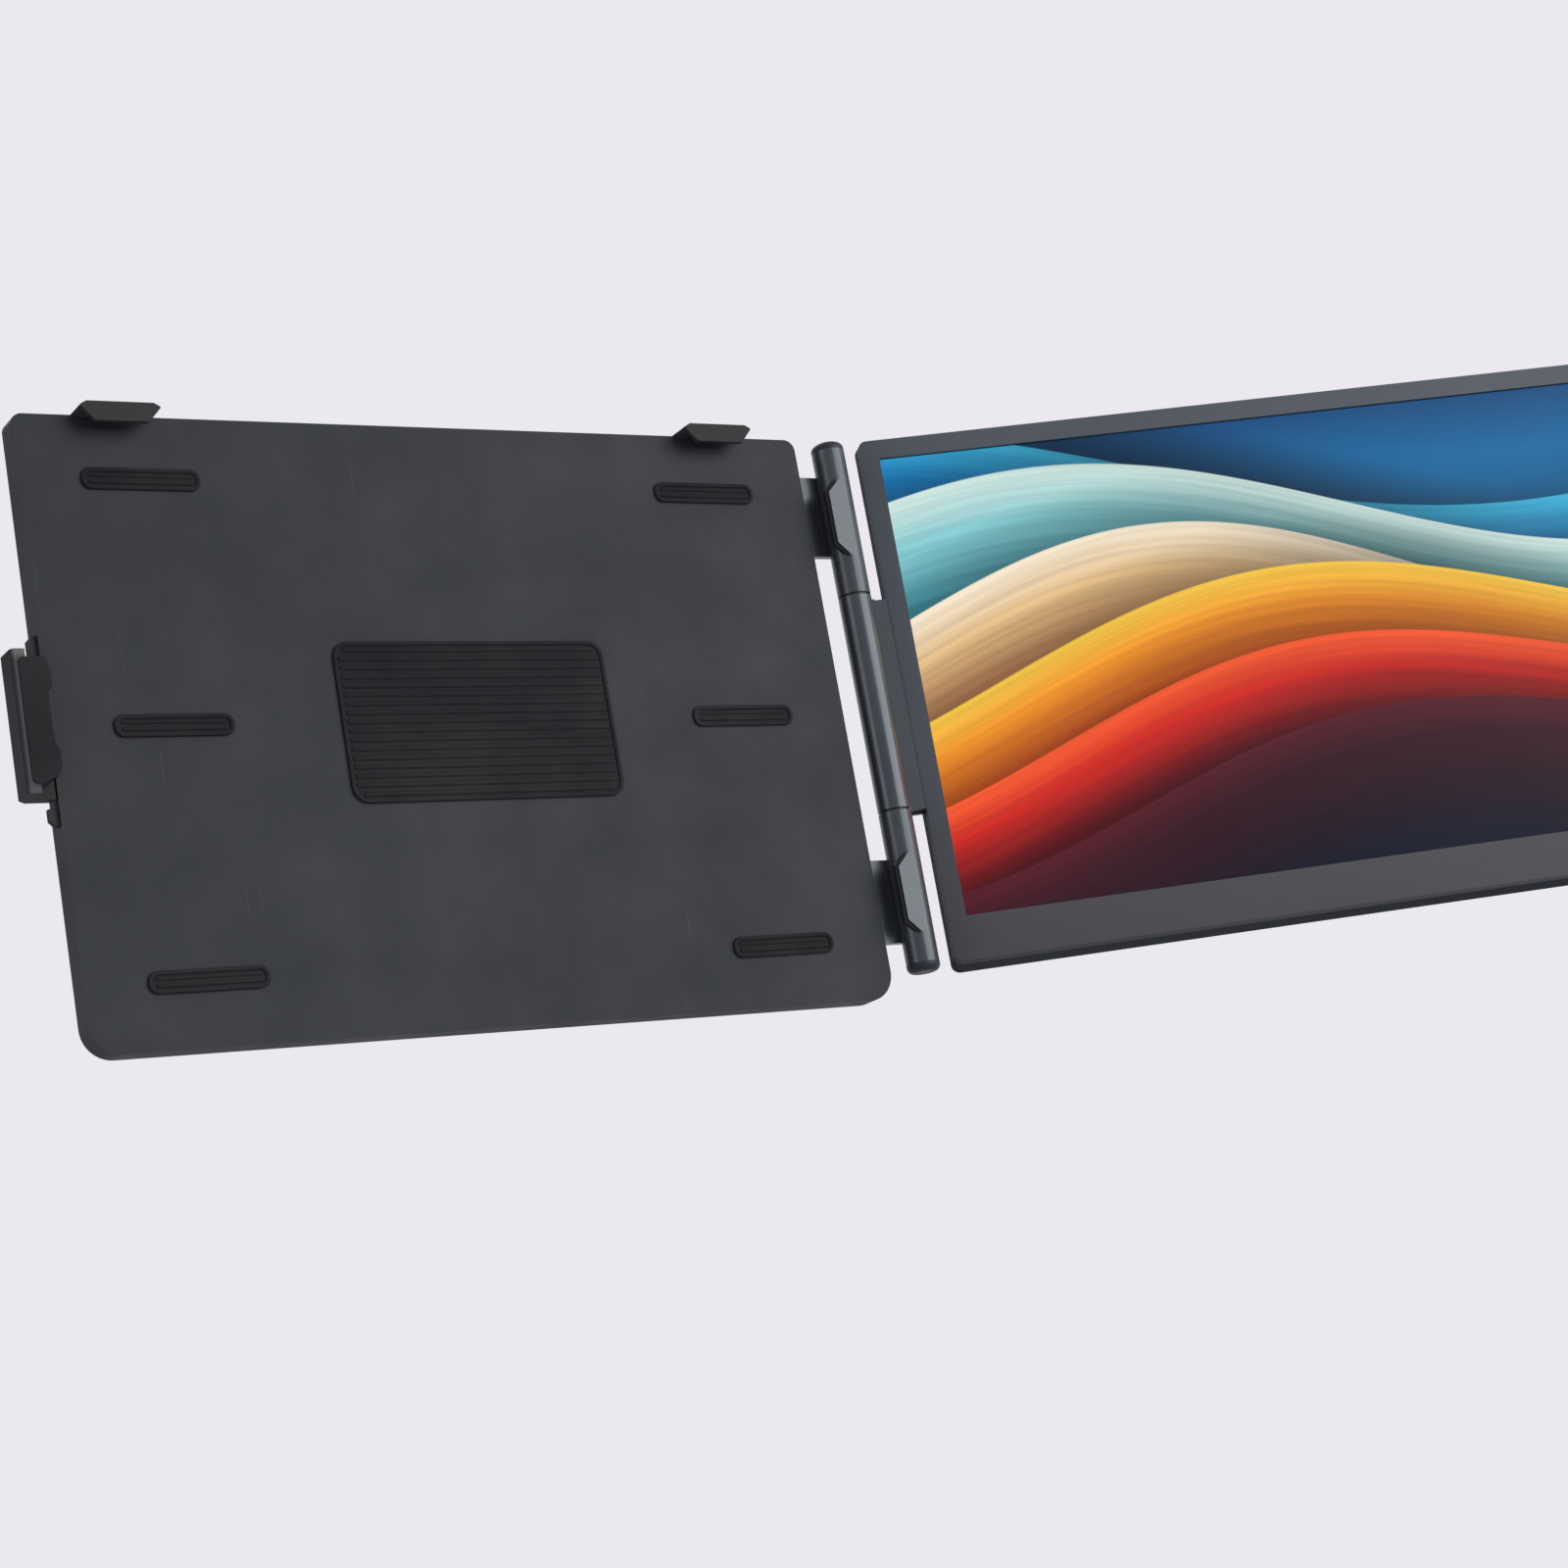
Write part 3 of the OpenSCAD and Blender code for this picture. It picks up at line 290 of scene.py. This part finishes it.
def satin_metal(name, colour, tint, rough, specular, leaf=None):
    """Drawn and anodised aluminium: fine drawing lines along Z under a satin skin.

    leaf is the colour past the barrel, where the hinge's leaf is painted like the bezel."""
    s = Shader(name)
    drawn = s.noise(1, 3, 0.7, s.stretch((2600, 2600, 26)))
    fine = s.noise(4200, 2, 0.6)
    drift = s.noise(24, 4, 0.55)
    base = s.mix(s.remap(drift, 0.36, 0.64), linear(colour), linear(tint))
    base = s.dim(base, s.spread(drawn, 0.86, 1.0))
    scuff = s.lines(turn=(1.2, 0.3, 0.8), across=1100, along=30, share=0.06)
    scuff = s.math("MULTIPLY", scuff, s.remap(drift, 0.48, 0.6, 0.0, 0.25))
    base = s.mix(scuff, base, linear("#9aa0a5"))
    shine = s.math("ADD", s.spread(drawn, rough - 0.04, rough + 0.06),
                   s.remap(drift, 0.35, 0.65, -0.03, 0.03))
    if leaf:
        past = s.remap(s.along_screen(), *LEAF_START)
        base = s.mix(past, base, s.dim(linear(leaf), s.spread(drawn, 0.94, 1.0)))
        shine = s.math("ADD", shine, s.math("MULTIPLY", past, 0.2))
    s.set(Specular_Tint=(0.86, 0.95, 1, 1))
    grooves = s.bump(drawn, 0.000006, 0.3)
    return s.surface(base, shine, specular, fine, 0.000006, 0.35, grooves)


def brushed_steel(name):
    """Turned and brushed steel with faint tarnish."""
    s = Shader(name)
    brushed = s.noise(1, 3, 0.7, s.stretch((3600, 500, 3600), (0.0, 0.0, 0.6)))
    drift = s.noise(120, 4, 0.6)
    base = s.mix(s.remap(drift, 0.4, 0.65), linear("#8f9194"), linear("#75736f"))
    s.set(Base_Color=s.dim(base, s.spread(brushed, 0.82, 1.0)), Metallic=0.9,
          Roughness=s.spread(brushed, 0.26, 0.42))
    s.set(Normal=s.bump(brushed, 0.00001, 0.35))
    return s.mat


def dark_glass(name):
    """Cover glass over the dark panel: smooth, a blue-green cast, faint smears in its gloss."""
    s = Shader(name)
    smear = s.noise(30, 5, 0.65, s.stretch((1, 1, 0.3), (0.2, 0.5, 0.1)))
    base = s.mix(s.spread(smear), linear("#121b1e"), linear("#192427"))
    shine = s.remap(smear, 0.35, 0.68, 0.16, 0.3)
    return s.surface(base, shine, 0.3, s.noise(2600, 2), 0.000003, 0.3)


def circuit_board(name):
    """Solder mask over copper traces, with small tinned pads."""
    s = Shader(name)
    traces = s.remap(s.cells(300, "DISTANCE_TO_EDGE"), 0.03, 0.07, 1, 0)
    pads = s.remap(s.cells(520), 0.16, 0.2, 1, 0)
    base = s.mix(traces, linear("#164a30"), linear("#2c7a50"))
    pads = s.math("MULTIPLY", pads, s.remap(s.noise(90, 2), 0.52, 0.56))
    base = s.mix(pads, base, linear("#c9bd8c"))
    return s.surface(base, s.remap(traces, 0, 1, 0.42, 0.34), 0.5, traces, 0.00003, 0.5)


def striped(name, colour, line_colour, axis, pitch, rough):
    """A film with fine lines across one axis, such as a flex cable's copper or a strip's lamps."""
    s = Shader(name)
    wave = s.math("SINE", s.math("MULTIPLY", s.dot(s.here, axis), TAU / pitch))
    line = s.remap(wave, 0.1, 0.5)
    base = s.mix(line, linear(colour), linear(line_colour))
    base = s.dim(base, s.spread(s.noise(700, 3), 0.88, 1.0))
    return s.surface(base, s.remap(line, 0, 1, rough, rough - 0.1), 0.5, line, 0.00002, 0.5)


def clear_acrylic(name, colour, dots):
    """Clear or milky moulding: printed dots or flow marks in a pale body."""
    s = Shader(name)
    dot = s.remap(s.cells(dots), 0.22, 0.3, 1, 0)
    flow = s.noise(60, 3, 0.5)
    base = s.mix(s.math("MULTIPLY", dot, 0.35), linear(colour), WHITE)
    base = s.dim(base, s.spread(flow, 0.94, 1.0))
    return s.surface(base, s.spread(flow, 0.12, 0.22), 0.5, dot, 0.00001, 0.4)


materials = {
    "plate_plastic": moulded("plate_plastic", "#2a2d31", "#2e3135", rough=0.6, specular=0.16,
                             grain=1900, depth=0.00004, scuffs=0.09),
    "claw_plastic": moulded("claw_plastic", "#383939", "#3b3b3c", rough=0.55, specular=0.03,
                            grain=2400, depth=0.00003, scuffs=0.08),
    "rubber_black": rubber("rubber_black", "#1b1c1f", "#202023"),
    "hinge_metal": satin_metal("hinge_metal", "#313439", "#373a40", rough=0.27, specular=0.48),
    # the bezel's colour carries a painted highlight away from the hinge and painted shade beside it
    "bezel_plastic": moulded("bezel_plastic", "#575d65", "#5b6068", rough=0.62, specular=0.1,
                             grain=3000, depth=0.00002, scuffs=0.05, tones=paint_bezel_light_and_shade),
    "housing_plastic": moulded("housing_plastic", "#2f3339", "#34383d", rough=0.66, specular=0.04,
                               grain=2000, depth=0.00004, scuffs=0.14),
    "steel": brushed_steel("steel"),
    "nylon_black": moulded("nylon_black", "#131416", "#18191b", rough=0.48, specular=0.3,
                           grain=1500, depth=0.00003, scuffs=0.08),
    "panel_black": dark_glass("panel_black"),
    "guide_clear": clear_acrylic("guide_clear", "#dfe5e8", dots=900),
    "led_yellow": striped("led_yellow", "#e9e6dc", "#d9c24a", tuple(ACROSS), pitch=0.006, rough=0.45),
    "board_green": circuit_board("board_green"),
    "flex_amber": striped("flex_amber", "#b07a26", "#c98f3c", tuple(ACROSS), pitch=0.0008, rough=0.4),
    "light_white": clear_acrylic("light_white", "#eef2f4", dots=2500),
}

# ---- the lit picture: a generic design of flowing bands ----

# width and height of the lit area, as in the CAD
ACTIVE_W = 301.6 * MM
ACTIVE_H = 188.5 * MM
film_low, film_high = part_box("display_film")
ACTIVE_LEFT = (Vector((film_low.x, film_high.y, 0)) - Vector((HINGE.x, HINGE.y, 0))).dot(ACROSS)

# each band: level, swing, waves, phase, slope, depth of its gradient, colours from its crest down
BANDS = (
    (0.95, 0.12, 0.55, 0.30, -0.10, 0.42, ("#45c4ee", "#1590d8", "#0a62ac", "#06305f")),
    (0.80, 0.15, 0.60, 0.12, -0.02, 0.42, ("#dff5ee", "#8ed6dc", "#3fa6ba", "#0f5068")),
    (0.62, 0.17, 0.66, 0.02, 0.00, 0.40, ("#fff2d8", "#f0c78f", "#cf8552", "#6a2c20")),
    (0.47, 0.15, 0.62, -0.06, 0.08, 0.34, ("#ffd04a", "#ff9c2a", "#ee5a1c", "#8c1c14")),
    (0.31, 0.12, 0.70, -0.12, 0.12, 0.30, ("#ff5f30", "#dc2b20", "#7c1520", "#300a12")),
    (0.14, 0.10, 0.75, -0.20, 0.14, 0.30, ("#5c1a28", "#3d1422", "#28101f", "#0c1026")),
)
BAND_STOPS = (0, 0.25, 0.62, 1)
SKY_TOP = 1.5
SKY_DEPTH = 1.2
SKY = ((0, "#061e46"), (0.35, "#0b2c5c"), (0.6, "#1478b4"), (1, "#1fa2dc"))
FOLDS_DOWN = 60
FOLDS_ACROSS = 1.6
FOLDS_APART = 40
SHADE_REACH = 0.12
BAND_EDGE = 0.0015


def lit_picture():
    """Glossy film that gives its own light: soft bands, each shading the one behind it."""
    s = Shader("display_lit")
    x = s.math("ADD", s.dot(s.here, ACROSS), -HINGE.dot(ACROSS) - ACTIVE_LEFT)
    across = s.math("DIVIDE", x, ACTIVE_W)
    up = s.math("DIVIDE", s.math("ADD", s.dot(s.here, Z_AXIS), -film_low.z), ACTIVE_H)
    picture = s.ramp(s.math("DIVIDE", s.math("SUBTRACT", SKY_TOP, up), SKY_DEPTH), SKY)
    for level, swing, waves, phase, slope, depth, colours in BANDS:
        wave = s.math("SINE", s.math("MULTIPLY_ADD", across, TAU * waves, TAU * phase))
        crest = s.math("MULTIPLY_ADD", across, slope, level)
        crest = s.math("MULTIPLY_ADD", wave, swing, crest)
        below = s.math("SUBTRACT", crest, up)
        band = s.ramp(s.math("DIVIDE", below, depth), tuple(zip(BAND_STOPS, colours)))
        along = s.tree.nodes.new("ShaderNodeCombineXYZ")
        s.put(along.inputs["X"], s.math("MULTIPLY", below, FOLDS_DOWN))
        s.put(along.inputs["Y"], s.math("MULTIPLY", across, FOLDS_ACROSS))
        along.inputs["Z"].default_value = level * FOLDS_APART
        folds = s.noise(1, 3, 0.6, along.outputs[0])
        band = s.dim(band, s.spread(folds, 0.74, 1.0))
        behind = s.dim(picture, s.remap(below, -SHADE_REACH, 0, 1, 0.42))
        picture = s.mix(s.remap(below, -BAND_EDGE, BAND_EDGE), behind, band)
    s.set(Emission_Color=picture, Emission_Strength=1.0)
    shine = s.spread(s.noise(40, 3), 0.24, 0.32)
    return s.surface((0.004, 0.004, 0.005, 1), shine, 0.06, s.noise(5200, 2), 0.000004, 0.4)


materials["display_lit"] = lit_picture()

# ---- ribbed silicone pads on the plate, in the space of the plain ones ----

PAD_T = 1.0
PAD_RIM = 1.5
PAD_ROUND = 0.18
PAD_FLOOR = 0.55
RIB_SINK = 0.06
RIB_TOP = 0.02
RIB_WIDTH = 0.3
RIB_GAP = 0.5
RIB_STEPS = 6
# a rib's ends, as distance from the end and share of its full size
RIB_ENDS = ((0, 0.45), (0.35, 0.85), (0.8, 1))
SHARP_PAD_EDGE = math.radians(50)


def outline(width, height, corner, steps=6):
    """Rectangle with rounded corners about the origin, as points that run once round."""
    points = []
    for k, (sx, sz) in enumerate(((1, 1), (-1, 1), (-1, -1), (1, -1))):
        for i in range(steps + 1):
            a = math.radians(90 * (k + i / steps))
            points.append((sx * (width / 2 - corner) + corner * math.cos(a),
                           sz * (height / 2 - corner) + corner * math.sin(a)))
    return points


def skin(bm, loops):
    """Closed shell through loops of equal length, with a face over each end."""
    rows = [[bm.verts.new(Vector(p) * MM) for p in loop] for loop in loops]
    n = len(rows[0])
    for a, b in zip(rows, rows[1:]):
        for i in range(n):
            bm.faces.new((a[i], a[(i + 1) % n], b[(i + 1) % n], b[i]))
    bm.faces.new(rows[0])
    bm.faces.new(rows[-1])


def ribbed_pad(name, node, places, width, height, corner, ribs):
    """Pads with a raised rim and round ribs on a lower floor, in place of one CAD node; mm."""
    bm = bmesh.new()
    for cx, cz in places:
        profile = ((0, PAD_T), (0, PAD_ROUND), (PAD_ROUND, 0), (PAD_RIM - PAD_ROUND, 0),
                   (PAD_RIM, PAD_ROUND), (PAD_RIM, PAD_FLOOR))
        skin(bm, [[(cx + x, y, cz + z)
                   for x, z in outline(width - 2 * inset, height - 2 * inset, corner - inset)]
                  for inset, y in profile])
        half_w, half_h, round_r = width / 2 - PAD_RIM, height / 2 - PAD_RIM, corner - PAD_RIM
        pitch = 2 * half_h / ribs
        rib_r = pitch * RIB_WIDTH
        arc = [math.pi * k / RIB_STEPS for k in range(RIB_STEPS + 1)]
        for i in range(ribs):
            z = (i + 0.5) * pitch - half_h
            past = max(0.0, abs(z) + rib_r - (half_h - round_r))
            reach = half_w - round_r + math.sqrt(max(0.0, round_r ** 2 - past ** 2)) - RIB_GAP
            ends = [(end - reach, size) for end, size in RIB_ENDS]
            ends += [(reach - end, size) for end, size in reversed(RIB_ENDS)]
            skin(bm, [[(cx + x, PAD_FLOOR + RIB_SINK - (PAD_FLOOR - RIB_TOP) * size * math.sin(a),
                        cz + z + rib_r * size * math.cos(a)) for a in arc] for x, size in ends])
    bmesh.ops.recalc_face_normals(bm, faces=bm.faces)
    mesh = bpy.data.meshes.new(name)
    bm.to_mesh(mesh)
    bm.free()
    mesh.polygons.foreach_set("use_smooth", [True] * len(mesh.polygons))
    mesh.set_sharp_from_angle(angle=SHARP_PAD_EDGE)
    mesh.materials.append(materials["rubber_black"])
    pad = bpy.data.objects.new(name, mesh)
    scene.collection.objects.link(pad)
    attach(pad, "base")
    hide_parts(node)


ribbed_pad("ribbed_seat_pad", "lid_seat_pad", [(0, 0)], width=110, height=60, corner=6, ribs=17)
ribbed_pad("ribbed_seat_strips", "seat_strips",
           [(x, z) for x in (-118, 112) for z in (-90, 0, 90)], width=44, height=8, corner=3.5, ribs=2)

# ---- rounding of the CAD's edges ----

# width of each node's rounded edges in mm; a node that isn't named has SMALL_EDGE
EDGE = {
    "plate_front_cover": 0.5, "plate_back_cover": 0.7, "left_jaw": 0.6, "left_jaw_pad": 0.35,
    "left_arm": 0.25, "top_jaw_left": 0.5, "top_jaw_right": 0.5, "top_jaw_pad_left": 0.15,
    "top_jaw_pad_right": 0.15, "top_arm_left": 0.25, "top_arm_right": 0.25,
    "upper_knuckle": 0.25, "lower_knuckle": 0.25, "hinge_link": 0.3, "barrel_end_caps": 0.1,
    "fixed_claw_pads": 0.15, "rear_housing": 0.5, "front_bezel": 0.35, "stand_leg": 0.4,
    "stand_foot": 0.3, "power_button": 0.3, "plus_button": 0.3, "minus_button": 0.3,
}
SMALL_EDGE = 0.06
SAME_POINT = 0.002 * MM
SAME_FACE = math.radians(0.5)
SHARP_EDGE = math.radians(28)
ROUND_STEPS = 3


def soften(obj, width):
    """Rounds a CAD node's sharp edges with modifiers; its mesh keeps its points and faces."""
    mesh = obj.data
    for name in ("custom_normal", "sharp_edge", "sharp_face"):
        if name in mesh.attributes:
            mesh.attributes.remove(mesh.attributes[name])
    mesh.polygons.foreach_set("use_smooth", [True] * len(mesh.polygons))
    weld = obj.modifiers.new("weld", "WELD")
    weld.merge_threshold = SAME_POINT
    flat = obj.modifiers.new("flat", "DECIMATE")
    flat.decimate_type = "DISSOLVE"
    flat.angle_limit = SAME_FACE
    bevel = obj.modifiers.new("bevel", "BEVEL")
    bevel.width = width * MM
    bevel.segments = ROUND_STEPS
    bevel.limit_method = "ANGLE"
    bevel.angle_limit = SHARP_EDGE
    bevel.use_clamp_overlap = True
    normals = obj.modifiers.new("normals", "WEIGHTED_NORMAL")
    normals.keep_sharp = False


# nodes whose finish differs from the rest of their slot; the left jaw's colour also has painted
# highlights
own_material = {
    "left_jaw": moulded("claw_with_painted_highlights", "#343535", "#373637", rough=0.55, specular=0.03,
                        grain=2400, depth=0.00003, scuffs=0.08, tones=paint_claw_highlights),
    "hinge_link": satin_metal("hinge_link_metal", "#2c2f35", "#32353b", rough=0.26, specular=0.58,
                              leaf="#1e2327"),
    "barrel_end_caps": satin_metal("cap_metal", "#282c33", "#2d3138", rough=0.5, specular=0.2),
}
for node, obj in nodes.items():
    slot = obj.data.materials[0].name
    obj.data.materials[0] = own_material.get(node, materials[slot])
    soften(obj, EDGE.get(node, SMALL_EDGE))

# ---- floor, world and lamps ----

FLOOR_Z = -0.42
FLOOR_R = 1.6
FLOOR_SIDES = 64
FLOOR_FADE = (0.9, 1.55)
floor_mesh = bpy.data.meshes.new("floor")
ring = [(FLOOR_R * math.cos(TAU * i / FLOOR_SIDES), FLOOR_R * math.sin(TAU * i / FLOOR_SIDES),
         FLOOR_Z) for i in range(FLOOR_SIDES)]
floor_mesh.from_pydata(ring, [], [tuple(range(FLOOR_SIDES))])
floor = bpy.data.objects.new("floor", floor_mesh)
scene.collection.objects.link(floor)
paper = Shader("floor_paper")
paper.set(Base_Color=paper.mix(paper.noise(3, 3), linear("#d8d6db"), linear("#dbd9de")),
          Roughness=0.9, Specular_IOR_Level=0.1)
radius = paper.tree.nodes.new("ShaderNodeVectorMath")
radius.operation = "LENGTH"
paper.put(radius.inputs[0], paper.stretch((1, 1, 0)))
paper.set(Alpha=paper.remap(radius.outputs["Value"], *FLOOR_FADE, 1, 0))
floor_mesh.materials.append(paper.mat)

BACKGROUND = "#ebe9ef"
FILL = 0.4
world = bpy.data.worlds.new("studio")
scene.world = world
world.use_nodes = True
tree = world.node_tree
path = tree.nodes.new("ShaderNodeLightPath")
seen = path.outputs["Is Camera Ray"]
for other in ("Is Glossy Ray", "Is Transmission Ray"):
    either = tree.nodes.new("ShaderNodeMath")
    either.operation = "MAXIMUM"
    tree.links.new(seen, either.inputs[0])
    tree.links.new(path.outputs[other], either.inputs[1])
    seen = either.outputs[0]
strength = tree.nodes.new("ShaderNodeMapRange")
strength.inputs["To Min"].default_value = FILL
strength.inputs["To Max"].default_value = 1.0
tree.links.new(seen, strength.inputs["Value"])
tree.links.new(strength.outputs["Result"], tree.nodes["Background"].inputs["Strength"])
tree.nodes["Background"].inputs["Color"].default_value = linear(BACKGROUND)


def lamp(name, azimuth, elevation, away, width, height, power):
    """Softbox that looks at the hinge from an azimuth (from +X towards +Y) and elevation."""
    a, e = math.radians(azimuth), math.radians(elevation)
    way = Vector((math.cos(e) * math.cos(a), math.cos(e) * math.sin(a), math.sin(e)))
    data = bpy.data.lights.new(name, "AREA")
    data.shape = "RECTANGLE"
    data.size = width
    data.size_y = height
    data.energy = power
    obj = bpy.data.objects.new(name, data)
    scene.collection.objects.link(obj)
    obj.location = Vector((HINGE.x, 0, 0)) + way * away
    obj.rotation_euler = way.to_track_quat("Z", "Y").to_euler()
    obj.visible_camera = False


lamp("key", azimuth=302, elevation=14, away=3.2, width=3.2, height=2.2, power=99)
lamp("left", azimuth=192, elevation=16, away=3.4, width=1.3, height=1.8, power=13)
lamp("back", azimuth=80, elevation=46, away=3.4, width=1.6, height=1.6, power=60)
